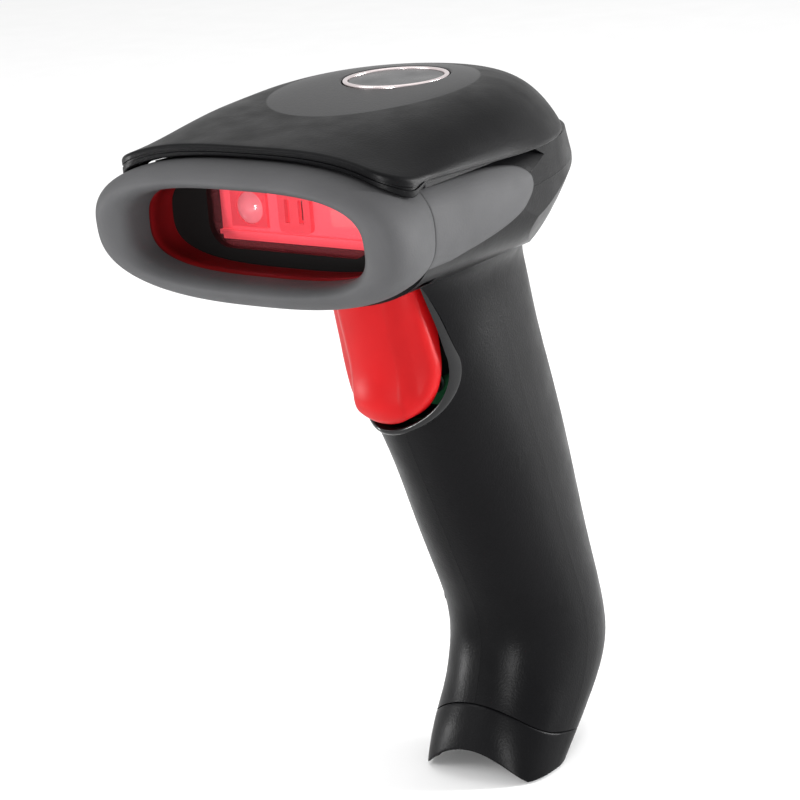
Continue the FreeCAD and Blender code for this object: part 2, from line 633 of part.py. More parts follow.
def engine_screws():
    screws = []
    for x in ENGINE_SCREWS_X:
        shank = rod(0.8, (x, -51.8, 145.0), (x, -44.58, 145.0))
        screws.append(shank.fuse(rod(1.5, (x, -44.58, 145.0), (x, -43.6, 145.0))))
    return Part.makeCompound(screws)


# ---------------------------------------------------------------- boards in the head
BOARD_TOP = BOARD_Z + 1.6


def main_pcb():
    board = box(-21.0, 21.0, -43.4, -8.0, BOARD_Z + 0.02, BOARD_TOP)
    for x, y in BOARD_POSTS:
        board = board.cut(rod(1.0 + SEAT, (x, y, 120), (x, y, 140)))
    return board


def chip(x, y, size_x, size_y, height):
    return box(x - size_x / 2, x + size_x / 2, y - size_y / 2, y + size_y / 2, BOARD_TOP + 0.01,
               BOARD_TOP + 0.01 + height)


def buzzer():
    return tube(5.5, 1.0, (12.0, -25.0, BOARD_TOP + 0.01), (12.0, -25.0, BOARD_TOP + 5.5))


def board_connectors():
    ribbon_end = chip(0, -40.5, 16.0, 4.0, 2.5)
    harness_end = box(-5.0, 5.0, -13.5, -8.5, BOARD_Z - 4.5, BOARD_Z)
    return Part.makeCompound([ribbon_end, harness_end])


def board_screws():
    screws = []
    for x, y in BOARD_POSTS:
        shank = rod(1.0, (x, y, BOARD_Z - 5.5), (x, y, BOARD_TOP + 0.02))
        screws.append(shank.fuse(rod(1.9, (x, y, BOARD_TOP + 0.02), (x, y, BOARD_TOP + 1.4))))
    return Part.makeCompound(screws)


def ribbon_cable():
    """Flat cable from the engine board down to the main board."""
    path = [V(0, -44.55, 134.5), V(0, -42.8, 134.5), V(0, -41.2, 133.15)]
    outline = [path[0], path[1], path[2], path[2] + V(0, 0.35, 0.15), path[1] + V(0, 0.1, 0.35),
               path[0] + V(0, 0, 0.35)]
    face = Part.Face(Part.makePolygon(outline + [outline[0]]))
    return face.extrude(V(12, 0, 0)).translated(V(-6, 0, 0))


# ---------------------------------------------------------------- socket and wiring in the grip
def cable_socket():
    body_block = box(-7.0, 7.0, SOCKET_Y - 6.0, SOCKET_Y + 6.0, SOCKET_MOUTH_Z, SOCKET_MOUTH_Z + 14.0)
    mouth = box(-5.9, 5.9, SOCKET_Y - 3.3, SOCKET_Y + 3.3, SOCKET_MOUTH_Z - 1, SOCKET_MOUTH_Z + 11.0)
    latch = box(-3.0, 3.0, SOCKET_Y - 5.0, SOCKET_Y, SOCKET_MOUTH_Z - 1, SOCKET_MOUTH_Z + 8.0)
    return body_block.cut(mouth).cut(latch)


def socket_contacts():
    pins = []
    for i in range(10):
        x = -4.5 + i
        pins.append(box(x - 0.17, x + 0.17, SOCKET_Y + 2.4, SOCKET_Y + 3.28, SOCKET_MOUTH_Z + 3, SOCKET_MOUTH_Z + 10.98))
    return Part.makeCompound(pins)


def jack_pcb():
    return box(-9.5, 9.5, SOCKET_Y - 4.5, SOCKET_Y + 10.0, JACK_BOARD_Z, JACK_BOARD_Z + 1.6)


def wiring_harness():
    route = [V(0, 8.5, 27.65), V(0, 8.5, 38.0), V(0, 13.5, 56.0), V(0, 7.5, 80.0), V(0, -2.0, 104.0),
             V(0, -11.0, 114.0), V(0, -11.0, 124.45)]
    return pipe(route, 1.6)


def handle_screws():
    screws = []
    for y, z in HANDLE_SCREWS:
        shank = rod(SCREW_RADIUS, (-10.0, y, z), (10.0, y, z))
        screws.append(shank.fuse(rod(SCREW_HEAD, (-11.8, y, z), (-10.0, y, z))))
    return Part.makeCompound(screws)


def cover_screws():
    screws = []
    for x, y in COVER_POSTS:
        shank = rod(SCREW_RADIUS, (x, y, 131.0), (x, y, 148.0))
        screws.append(shank.fuse(rod(SCREW_HEAD, (x, y, 129.2), (x, y, 131.0))))
    return Part.makeCompound(screws)


# ---------------------------------------------------------------- all nodes
def build():
    whole = body()
    far = 100.0
    right = whole.common(box(0.02, far, -far, far, -far, 200))
    left = whole.common(box(-far, -0.02, -far, far, -far, 200))
    bumper = side_bumper()
    return {
        "body_shell_right": right,
        "body_shell_left": left,
        "top_cover": top_cover(),
        "upper_frame": upper_frame(),
        "badge_ring": badge_ring(),
        "badge_plate": badge_plate(),
        "nose_bezel": nose_bezel(),
        "side_bumper_right": bumper,
        "side_bumper_left": mirrored(bumper),
        "light_hood": light_hood(),
        "optics_mask": optics_mask(),
        "scan_window": scan_window(),
        "window_gasket": window_gasket(),
        "optics_carrier": optics_carrier(),
        "imaging_lens": imaging_lens(),
        "lens_frame": lens_frame(),
        "lens_barrel": lens_barrel(),
        "image_sensor": image_sensor(),
        "aimer_bezel": aimer_bezel(),
        "light_guide": light_guide(),
        "illumination_leds": illumination_leds(),
        "engine_pcb": engine_pcb(),
        "engine_screws": engine_screws(),
        "main_pcb": main_pcb(),
        "decoder_chip": chip(-6.0, -27.0, 12.0, 12.0, 1.4),
        "memory_chip": chip(-5.0, -15.0, 8.0, 6.0, 1.0),
        "interface_chip": chip(8.0, -15.5, 7.0, 5.0, 1.0),
        "buzzer": buzzer(),
        "board_connectors": board_connectors(),
        "board_screws": board_screws(),
        "ribbon_cable": ribbon_cable(),
        "trigger": trigger(),
        "trigger_bezel": trigger_bezel(),
        "trigger_pivot_pin": trigger_pivot_pin(),
        "trigger_spring": trigger_spring(),
        "switch_plunger": switch_plunger(),
        "micro_switch": micro_switch(),
        "switch_pcb": switch_pcb(),
        "base_cap": base_cap(),
        "cable_socket": cable_socket(),
        "socket_contacts": socket_contacts(),
        "jack_pcb": jack_pcb(),
        "wiring_harness": wiring_harness(),
        "handle_screws": handle_screws(),
        "cover_screws": cover_screws(),
        "screw_plugs": screw_plugs(),
    }


os.makedirs("parts", exist_ok=True)
for node, shape in build().items():
    shape.translate(V(0, 0, -FOOT_Z))
    solids = shape.Solids
    flag = "" if shape.isValid() and len(solids) > 0 else "  INVALID"
    print(f"{node:22s} solids {len(solids):2d} volume {shape.Volume:10.1f}{flag}")
    shape.exportStep("parts/" + node + ".step")
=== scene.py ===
import math

import bmesh
import bpy
import numpy as np
from mathutils import Matrix, Vector


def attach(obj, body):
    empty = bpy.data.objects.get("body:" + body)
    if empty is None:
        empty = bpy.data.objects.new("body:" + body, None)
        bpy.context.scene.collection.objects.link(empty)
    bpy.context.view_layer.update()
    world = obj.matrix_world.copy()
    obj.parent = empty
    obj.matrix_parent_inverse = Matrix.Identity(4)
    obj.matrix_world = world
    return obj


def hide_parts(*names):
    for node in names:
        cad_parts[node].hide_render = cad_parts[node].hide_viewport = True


# Looks of the handheld scanner. Shapes are worked out in millimetres and turned to metres as meshes are made.
# Heights are counted from the moulding's own zero, which stands DATUM above the foot's rim.

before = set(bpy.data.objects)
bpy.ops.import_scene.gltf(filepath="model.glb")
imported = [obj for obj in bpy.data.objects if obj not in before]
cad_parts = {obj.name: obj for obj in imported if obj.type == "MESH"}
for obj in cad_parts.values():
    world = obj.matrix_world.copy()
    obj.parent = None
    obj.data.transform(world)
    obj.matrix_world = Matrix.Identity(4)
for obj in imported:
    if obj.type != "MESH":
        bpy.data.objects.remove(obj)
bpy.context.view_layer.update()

MM = 0.001
DATUM = 1.4
SHARP_ANGLE = 34             # faces that meet at more degrees than this keep a sharp edge

HEAD_HALF = 35.0
COVER_FRONT = -73.5
TAIL_CENTRE = -35.0
COVER_TAIL = 49.4
COLLAR_TAIL = 51.2
RIDGE = 157.0
BADGE_Y = -22.5
BADGE_RADIUS = 11.0
BADGE_FLOOR = RIDGE - 1.6
COVER_CORNER = 7.0
COVER_ROUND = 0.7
COVER_WALL = 2.0
NOSE_BACK = -62.0
NOSE_Z = 135.6
NOSE_POWER = 2.6
RING_HALF_WIDTH = 37.6
RING_HALF_HEIGHT = 14.6
WING_HALF_HEIGHT = 14.3
WING_SPINE = (-45.0, 136.4)  # y and z that the wing's skin closes on
WING_DEPTH = 4.2
WING_TUCK = 0.02
WING_ROUND = 0.55

TRIGGER_HALF = 11.7
TRIGGER_MIDDLE_Z = 100.0
TRIGGER_DROP = 13.7
TRIGGER_TOP_Z = 116.8
TRIGGER_BACK = -30.5
TRIGGER_ROUND = 1.5
BEZEL_GAP = 1.2
BEZEL_WIDTH = 1.4
BEZEL_TOP_Z = 117.6
BEZEL_BACK = -26.2

FOOT_WALL = 1.98
FOOT_ROUND = 0.55
FOOT_LIP = 0.35

# Sections of the grip: height, middle, half length along Y, half width, roundness of back and front.
GRIP = np.array([
    (-5.0, -5.8, 11.8, 14.7, 2.2, 3.0),
    (0.0, -2.8, 13.5, 15.3, 2.2, 2.9),
    (3.5, -0.3, 15.3, 15.6, 2.2, 2.7),
    (9.0, 3.8, 17.9, 15.9, 2.2, 2.4),
    (15.0, 8.2, 19.6, 16.0, 2.2, 2.2),
    (21.0, 10.9, 19.8, 16.0, 2.2, 2.2),
    (28.0, 11.5, 18.7, 16.0, 2.2, 2.2),
    (43.5, 7.4, 19.2, 15.8, 2.2, 2.2),
    (59.0, 2.2, 21.0, 15.8, 2.2, 2.2),
    (75.0, -3.2, 22.8, 15.9, 2.2, 2.15),
    (90.0, -8.5, 23.6, 16.1, 2.2, 2.6),
    (103.0, -12.9, 23.4, 16.4, 2.3, 2.9),
    (111.0, -15.6, 23.4, 16.8, 2.4, 2.9),
])


# ---------------------------------------------------------------- curves and fields
def smooth(t):
    """Eased step from 0 to 1."""
    t = np.clip(t, 0.0, 1.0)
    return t * t * (3 - 2 * t)


def spline(knots, values, at):
    """Natural cubic spline through values at knots."""
    knots, values, at = np.asarray(knots, float), np.asarray(values, float), np.asarray(at, float)
    n = len(knots)
    h = np.diff(knots)
    system, right = np.eye(n), np.zeros((n,) + values.shape[1:])
    for i in range(1, n - 1):
        system[i, i - 1:i + 2] = h[i - 1], 2 * (h[i - 1] + h[i]), h[i]
        right[i] = 6 * ((values[i + 1] - values[i]) / h[i] - (values[i] - values[i - 1]) / h[i - 1])
    bend = np.linalg.solve(system, right)
    i = np.clip(np.searchsorted(knots, at) - 1, 0, n - 2)
    a, b = knots[i + 1] - at, at - knots[i]
    step = h[i]
    if values.ndim > 1:
        a, b, step = a[..., None], b[..., None], step[..., None]
    return (bend[i] * a ** 3 + bend[i + 1] * b ** 3) / (6 * step) + (
        values[i] / step - bend[i] * step / 6) * a + (values[i + 1] / step - bend[i + 1] * step / 6) * b


def signed_power(v, p):
    return np.sign(v) * np.abs(v) ** p


def oval(angles, half_a, half_b, power):
    return half_a * signed_power(np.cos(angles), 2 / power), half_b * signed_power(np.sin(angles), 2 / power)


def even_angles(half_a, half_b, power, count):
    """Angles that space points evenly round a superellipse."""
    fine = np.linspace(0, 2 * math.pi, 20001)
    a, b = oval(fine, half_a, half_b, power)
    length = np.concatenate([[0], np.cumsum(np.hypot(np.diff(a), np.diff(b)))])
    return np.interp(np.arange(count) / count * length[-1], length, fine)


def rim_z(y):
    """Height of the cover's lower edge."""
    return 144.5 - 0.05 * (y - TAIL_CENTRE)


def ridge_z(y):
    """Height of the cover along its middle."""
    return RIDGE - 4.1 * (np.maximum(0, -15 - y) / 58) ** 1.8 - 2.4 * (np.maximum(0, y + 15) / 36) ** 2


def crown(x, y):
    """Height of the cover's top."""
    edge = rim_z(y) + 1.2
    roundness = 3.4 + 3.1 * smooth((y - COVER_FRONT) / 28.0)
    reach = np.hypot(x / HEAD_HALF, np.maximum(0, y - TAIL_CENTRE) / COVER_TAIL)
    return edge + (ridge_z(y) - edge) * (1 - np.minimum(1, reach) ** roundness)


def grip_rows(z):
    return spline(GRIP[:, 0], GRIP[:, 1:], z)


def grip_point(angles, z, inset=0.0):
    """Point on the grip's skin at each angle and height."""
    middle, half_y, half_x, back, front = np.moveaxis(grip_rows(z), -1, 0)
    power = 2 / np.where(np.sin(angles) < 0, front, back)
    x = (half_x - inset) * signed_power(np.cos(angles), power)
    return x, middle + (half_y - inset) * signed_power(np.sin(angles), power)


def grip_front(x, z):
    """Y of the grip's front."""
    middle, half_y, half_x, back, front = np.moveaxis(grip_rows(z), -1, 0)
    across = np.minimum(0.985, np.abs(x) / half_x)
    return middle - half_y * (1 - across ** front) ** (1 / front)


def pad_front(x, z):
    """Y of the trigger's finger pad."""
    along = -42.4 + 3.8 * smooth((118.0 - z) / 24.0) - 0.7 * np.exp(-((z - 92.5) / 4.5) ** 2 - (x / 6.0) ** 2)
    across = 0.026 * x * x + 1.9 * smooth((np.abs(x) - 5.5) / 3.2)
    return along + 0.06 * np.maximum(0, 92.5 - z) ** 2 + across


def bezel_front(x, z):
    """Y of the trigger surround's front, pulled out under the trigger's tip."""
    stop = 4.8 * np.exp(-((z - 84.6) / 5.5) ** 2 - (x / 8.5) ** 2)
    return grip_front(x, z) - 0.6 + 1.3 * smooth((z - 97.0) / 12.0) - stop


def seam_z(x, y):
    """Height of the seam between the grip and the foot."""
    front = smooth((4.0 - y) / 16.0)
    return 6.4 - 0.27 * y + 5.2 * front * np.maximum(0, 1 - (x / 15.5) ** 2)


def rim_arch_z(x, y):
    """Height of the foot's lower rim, arched at the front."""
    front = smooth((-2.0 - y) / 10.0)
    return np.maximum(-DATUM, -DATUM - 0.2 + 6.5 * front * np.maximum(0, 1 - (x / 13.5) ** 2))


# ---------------------------------------------------------------- meshes
def make_piece(name, vertices, faces, nodes, body, material):
    mesh = bpy.data.meshes.new(name)
    points = np.asarray(vertices, float) + (0, 0, DATUM)
    mesh.from_pydata((points * MM).tolist(), [], faces)
    work = bmesh.new()
    work.from_mesh(mesh)
    bmesh.ops.remove_doubles(work, verts=work.verts, dist=0.004 * MM)
    bmesh.ops.dissolve_degenerate(work, edges=work.edges, dist=0.001 * MM)
    bmesh.ops.recalc_face_normals(work, faces=work.faces)
    work.to_mesh(mesh)
    work.free()
    mesh.shade_smooth()
    mesh.set_sharp_from_angle(angle=math.radians(SHARP_ANGLE))
    piece = bpy.data.objects.new(name, mesh)
    bpy.context.scene.collection.objects.link(piece)
    piece.data.materials.append(material)
    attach(piece, body)
    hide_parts(*nodes)


def loops_piece(name, loops, nodes, body, material, ring=False, around=True):
    """Skin over loops of points. ring joins the last loop to the first, around closes each loop."""
    loops = np.asarray(loops, float)
    m, n = loops.shape[:2]
    faces = []
    for i in range(m if ring else m - 1):
        a, b = i * n, ((i + 1) % m) * n
        for j in range(n if around else n - 1):
            k = (j + 1) % n
            faces.append((a + j, a + k, b + k, b + j))
    if not around:
        faces.append(tuple(i * n for i in range(m)))
        faces.append(tuple(i * n + n - 1 for i in reversed(range(m))))
    make_piece(name, loops.reshape(-1, 3), faces, nodes, body, material)


# ---------------------------------------------------------------- materials
def finish(name, color, rough, grain=0.0, grain_size=0.35, shade=0.12, metal=0.0, coat=0.0, alpha=1.0,
           wear=0.05, shine=0.4, painted_glow=0.0):
    """Base colour and roughness drift slowly over the piece, and a fine grain stands up from it. painted_glow
    makes the colour shine by itself: painted light, for parts that are no lamp.
    """
    material = bpy.data.materials.new(name)
    material.use_nodes = True
    nodes, links = material.node_tree.nodes, material.node_tree.links
    shader = nodes["Principled BSDF"]
    shader.inputs["Metallic"].default_value = metal
    shader.inputs["Coat Weight"].default_value = coat
    shader.inputs["Coat Roughness"].default_value = 0.12
    shader.inputs["Specular IOR Level"].default_value = shine
    shader.inputs["Alpha"].default_value = alpha
    place = nodes.new("ShaderNodeTexCoord")

    drift = nodes.new("ShaderNodeTexNoise")
    drift.inputs["Scale"].default_value = 45.0
    drift.inputs["Detail"].default_value = 4.0
    links.new(place.outputs["Object"], drift.inputs["Vector"])
    ramp = nodes.new("ShaderNodeValToRGB")
    for stop, position, factor in zip(ramp.color_ramp.elements, (0.3, 0.7), (1 - shade, 1 + shade)):
        stop.position = position
        stop.color = tuple(min(1.0, c * factor) for c in color) + (1.0,)
    links.new(drift.outputs["Fac"], ramp.inputs["Fac"])
    links.new(ramp.outputs["Color"], shader.inputs["Base Color"])
    # emission from the base colour: painted light, a glow on parts that are no lamp
    links.new(ramp.outputs["Color"], shader.inputs["Emission Color"])
    shader.inputs["Emission Strength"].default_value = painted_glow

    spread = nodes.new("ShaderNodeMapRange")
    spread.inputs["From Min"].default_value = 0.3
    spread.inputs["From Max"].default_value = 0.7
    spread.inputs["To Min"].default_value = rough - wear
    spread.inputs["To Max"].default_value = rough + wear
    cloud = nodes.new("ShaderNodeTexNoise")
    cloud.inputs["Scale"].default_value = 160.0
    cloud.inputs["Detail"].default_value = 3.0
    links.new(place.outputs["Object"], cloud.inputs["Vector"])
    links.new(cloud.outputs["Fac"], spread.inputs["Value"])
    links.new(spread.outputs["Result"], shader.inputs["Roughness"])

    if grain > 0:
        pores = nodes.new("ShaderNodeTexNoise")
        pores.inputs["Scale"].default_value = 1.0 / (grain_size * MM)
        pores.inputs["Detail"].default_value = 2.0
        links.new(place.outputs["Object"], pores.inputs["Vector"])
        bump = nodes.new("ShaderNodeBump")
        bump.inputs["Strength"].default_value = grain
        bump.inputs["Distance"].default_value = 0.05 * MM
        links.new(pores.outputs["Fac"], bump.inputs["Height"])
        links.new(bump.outputs["Normal"], shader.inputs["Normal"])
    return material


def polished_patch_painted_light(material, centre, half_x, half_y, color, rough):
    """Smooth oval let into a grained finish, seen from above. Its lower roughness is the finish; its lighter
    colour is painted light, the top lit from above.
    """
    nodes, links = material.node_tree.nodes, material.node_tree.links
    shader = nodes["Principled BSDF"]
    place = nodes.new("ShaderNodeTexCoord")
    stretch = nodes.new("ShaderNodeMapping")
    stretch.inputs["Location"].default_value = (-centre[0] / half_x, -centre[1] / half_y, 0)
    stretch.inputs["Scale"].default_value = (1 / (half_x * MM), 1 / (half_y * MM), 0)
    links.new(place.outputs["Object"], stretch.inputs["Vector"])
    reach = nodes.new("ShaderNodeVectorMath")
    reach.operation = "LENGTH"
    links.new(stretch.outputs["Vector"], reach.inputs[0])
    edge = nodes.new("ShaderNodeMapRange")
    edge.inputs["From Min"].default_value = 1.012
    edge.inputs["From Max"].default_value = 0.995
    links.new(reach.outputs["Value"], edge.inputs["Value"])
    for socket, kind, value in (("Base Color", "RGBA", color + (1.0,)), ("Roughness", "FLOAT", rough)):
        before = shader.inputs[socket].links[0].from_socket
        blend = nodes.new("ShaderNodeMix")
        blend.data_type = kind
        first, second = [sock for sock in blend.inputs if sock.enabled and sock.name in "AB"]
        second.default_value = value
        links.new(edge.outputs["Result"], blend.inputs["Factor"])
        links.new(before, first)
        links.new([sock for sock in blend.outputs if sock.enabled][0], shader.inputs[socket])


BLACK = finish("satin_black", (0.0026, 0.0026, 0.0030), 0.36, grain=0.8, grain_size=0.45, shine=0.07)
COVER_BLACK = finish("cover_black", (0.0028, 0.0028, 0.0032), 0.40, grain=0.8, grain_size=0.45, shine=0.08)
# Oval on the cover's top: a smoother finish, and a lighter colour that is painted light falling on the top
# from above.
polished_patch_painted_light(COVER_BLACK, (0.0, -30.3), 20.3, 24.0, (0.016, 0.016, 0.017), 0.30)
RUBBER = finish("grey_rubber", (0.060, 0.060, 0.062), 0.62, grain=0.7, grain_size=0.5, shine=0.10)
SILVER = finish("badge_silver", (0.70, 0.62, 0.62), 0.28, metal=1.0, grain=0.1)
PLATE = finish("badge_plate", (0.024, 0.024, 0.026), 0.30, grain=0.1, shine=0.25)
HOOD = finish("hood_red", (0.13, 0.004, 0.005), 0.45, grain=0.2, shine=0.10)
MASK = finish("mask_black", (0.004, 0.0035, 0.0035), 0.55, grain=0.2, shine=0.1)
GASKET = finish("gasket_dark", (0.040, 0.016, 0.019), 0.7, grain=0.2, shine=0.1)
WINDOW = finish("window_red", (0.60, 0.14, 0.16), 0.06, alpha=0.06, wear=0.02, shine=0.1)
# The carrier, lens, lens frame and light guide glow from their own red colour: painted light inside the nose,
# as none of them is a lamp.
CARRIER = finish("carrier_red", (0.84, 0.072, 0.098), 0.42, grain=0.1, painted_glow=0.55)
LENS = finish("lens", (0.70, 0.16, 0.19), 0.08, coat=0.5, wear=0.03, painted_glow=0.45)
OPTIC_FRAME = finish("optic_frame", (0.66, 0.040, 0.058), 0.45, grain=0.1, painted_glow=0.45)
GUIDE = finish("light_guide", (0.80, 0.085, 0.105), 0.25, coat=0.4, painted_glow=0.50)
LED = finish("lamp", (0.9, 0.3, 0.25), 0.2)
SENSOR = finish("sensor", (0.05, 0.05, 0.08), 0.2)
BOARD = finish("board", (0.02, 0.13, 0.05), 0.4, grain=0.1)
CHIP = finish("chip", (0.02, 0.02, 0.02), 0.5, grain=0.1)
IVORY = finish("connector", (0.55, 0.50, 0.40), 0.45)
RIBBON = finish("ribbon", (0.45, 0.22, 0.06), 0.4)
STEEL = finish("steel", (0.50, 0.50, 0.52), 0.3, metal=1.0)
DARK_STEEL = finish("dark_steel", (0.05, 0.05, 0.055), 0.42, metal=1.0)
TRIGGER_RED = finish("trigger_red", (0.33, 0.0030, 0.0042), 0.40, grain=0.2, shine=0.12)
GLOSS_BLACK = finish("gloss_black", (0.004, 0.004, 0.0045), 0.20, grain=0.08, shine=0.30)
GREY_PLASTIC = finish("plain_grey", (0.40, 0.40, 0.39), 0.5)
DARK_PLASTIC = finish("plain_dark", (0.03, 0.03, 0.032), 0.5, grain=0.1)
GOLD = finish("contact_gold", (0.80, 0.55, 0.18), 0.25, metal=1.0)


# ---------------------------------------------------------------- nose ring
def nose_loops(stations, steps, count=288):
    """Superellipse loops through stations of y, half width, half height, power and lean."""
    stations = np.array(stations, float)
    length = np.concatenate([[0], np.cumsum(np.linalg.norm(np.diff(stations[:, :3], axis=0), axis=1))])
    rows = spline(length, stations, np.linspace(0, length[-1], steps))
    angles = even_angles(37, 14.4, NOSE_POWER, count)
    loops = []
    for y, half_x, half_z, power, lean in rows:
        a, b = oval(angles, half_x, half_z, power)
        loops.append(np.stack([a, y - b * math.tan(math.radians(lean)), NOSE_Z + b], axis=1))
    return loops


outer = nose_loops([
    (-62.0, 35.0, 14.3, 2.6, 0), (-65.0, 36.3, 14.4, 2.6, 1.2), (-69.0, 37.3, 14.5, 2.6, 3),
    (-73.0, 37.55, 14.55, 2.6, 5.6), (-75.6, 37.1, 14.1, 2.6, 6), (-77.4, 36.0, 13.1, 2.62, 6),
    (-78.4, 34.5, 11.9, 2.66, 6), (-78.65, 32.9, 11.2, 2.75, 6), (-78.4, 31.1, 10.6, 2.85, 6),
    (-77.6, 29.8, 10.0, 2.95, 6), (-76.2, 28.9, 9.5, 3.0, 6), (-74.0, 28.6, 9.3, 3.0, 5),
    (-70.0, 28.6, 9.3, 3.0, 0),
], 66)
back = nose_loops([(-69.9, 31.0, 11.6, 3.0, 0), (-66.0, 31.0, 11.6, 3.0, 0), (-62.4, 31.0, 11.6, 3.0, 0)], 4)
rim = nose_loops([(-62.0, 31.4, 12.0, 2.9, 0), (-62.0, 33.0, 13.0, 2.7, 0), (-62.0, 34.7, 14.1, 2.6, 0)], 4)
loops_piece("nose_ring", outer + back + rim, ["nose_bezel"], "scanner_body", RUBBER,
            ring=True)

hood_out = nose_loops([(-69.6, 30.7, 11.3, 3, 0), (-66, 30.7, 11.3, 3, 0), (-62.0, 30.7, 11.3, 3, 0)], 4)
hood_in = nose_loops([(-62.0, 29.2, 9.5, 3, 0), (-66, 29.2, 9.5, 3, 0), (-69.6, 29.2, 9.5, 3, 0),
                      (-69.9, 29.5, 9.8, 3, 0), (-69.9, 30.4, 11.0, 3, 0)], 16)
loops_piece("hood_sleeve", hood_out + hood_in, ["light_hood"], "scanner_body", HOOD,
            ring=True)


# ---------------------------------------------------------------- side bumpers
def wing_skin(y, z):
    """Half width of the head's side at a place on it."""
    tail = np.maximum(0, y - TAIL_CENTRE) / COLLAR_TAIL
    plan = HEAD_HALF * np.sqrt(1 - tail ** 2)
    share = np.minimum(1, np.abs(z - NOSE_Z) / WING_HALF_HEIGHT)
    bar = HEAD_HALF * (1 - share ** NOSE_POWER) ** (1 / NOSE_POWER)
    return np.minimum(plan, bar)


def wing_outline(count):
    """The wing's edge seen from the side, as y and z: its curl first, then its straight front."""
    knots = np.array([(-62.0, 143.8), (-45, 143.4), (-33, 142.4), (-28.0, 140.5), (-26.2, 137.4),
                      (-28.6, 134.6), (-36, 131.3), (-47, 129.0), (-62.0, 126.6)])
    along = np.concatenate([[0], np.cumsum(np.linalg.norm(np.diff(knots, axis=0), axis=1))])
    curve = spline(along, knots, np.linspace(0, along[-1], count))
    front = np.linspace(curve[-1], curve[0], 26)[1:-1]
    return np.concatenate([curve, front])


def wing(side, name, node):
    edge = wing_outline(150)
    spine = np.tile(WING_SPINE, (len(edge), 1))
    inward = spine - edge
    inward /= np.linalg.norm(inward, axis=1)[:, None]

    def skin(flat, depth):
        x = wing_skin(flat[:, 0], flat[:, 1]) - depth
        return np.stack([side * x, flat[:, 0], flat[:, 1]], axis=1)

    loops = [skin(edge + (spine - edge) * t, WING_DEPTH) for t in (1.0, 0.75, 0.5, 0.25)]
    for depth in (WING_DEPTH, 2.0):
        loops.append(skin(edge + inward * WING_TUCK, depth))
    for turn in np.linspace(0, math.pi / 2, 7):
        step = WING_TUCK + WING_ROUND * (1 - math.cos(turn))
        loops.append(skin(edge + inward * step, WING_ROUND * (1 - math.sin(turn))))
    start = edge + inward * (WING_TUCK + WING_ROUND)
    for t in np.linspace(0, 1, 15)[1:]:
        loops.append(skin(start + (spine - start) * t, 0.0))
    loops_piece(name, loops, [node], "scanner_body", RUBBER)


wing(1, "bumper_right", "side_bumper_right")
wing(-1, "bumper_left", "side_bumper_left")


# ---------------------------------------------------------------- cover
def cover_outline(inset, count=440):
    """Plan of the cover from its front middle round, as points moved along their inward normals by inset."""
    half, tail, front, corner = HEAD_HALF, COVER_TAIL, COVER_FRONT, COVER_CORNER
    turn = np.linspace(-math.pi / 2, 0, 40)
    corner_arc = np.stack([half - corner + corner * np.cos(turn),
                           front + corner + corner * np.sin(turn)], axis=1)
    side = np.linspace((half, front + corner), (half, TAIL_CENTRE), 40)
    sweep = np.linspace(0, math.pi / 2, 200)
    arc = np.stack([half * np.cos(sweep), TAIL_CENTRE + tail * np.sin(sweep)], axis=1)
    first = np.linspace((0, front), (half - corner, front), 40)
    path = np.concatenate([first, corner_arc[1:], side[1:], arc[1:]])
    length = np.concatenate([[0], np.cumsum(np.linalg.norm(np.diff(path, axis=0), axis=1))])
    at = np.linspace(0, length[-1], count // 2 + 1)
    right = np.stack([np.interp(at, length, path[:, 0]), np.interp(at, length, path[:, 1])], axis=1)
    left = right[-2:0:-1] * (-1, 1)
    whole = np.concatenate([right, left])
    ahead = np.roll(whole, -1, axis=0) - np.roll(whole, 1, axis=0)
    normal = np.stack([-ahead[:, 1], ahead[:, 0]], axis=1)
    normal /= np.linalg.norm(normal, axis=1)[:, None]
    return whole + normal * inset


def nose_top(x):
    """Height of the nose ring's upper edge."""
    across = np.minimum(1, np.abs(x) / RING_HALF_WIDTH)
    return NOSE_Z + RING_HALF_HEIGHT * (1 - across ** NOSE_POWER) ** (1 / NOSE_POWER)


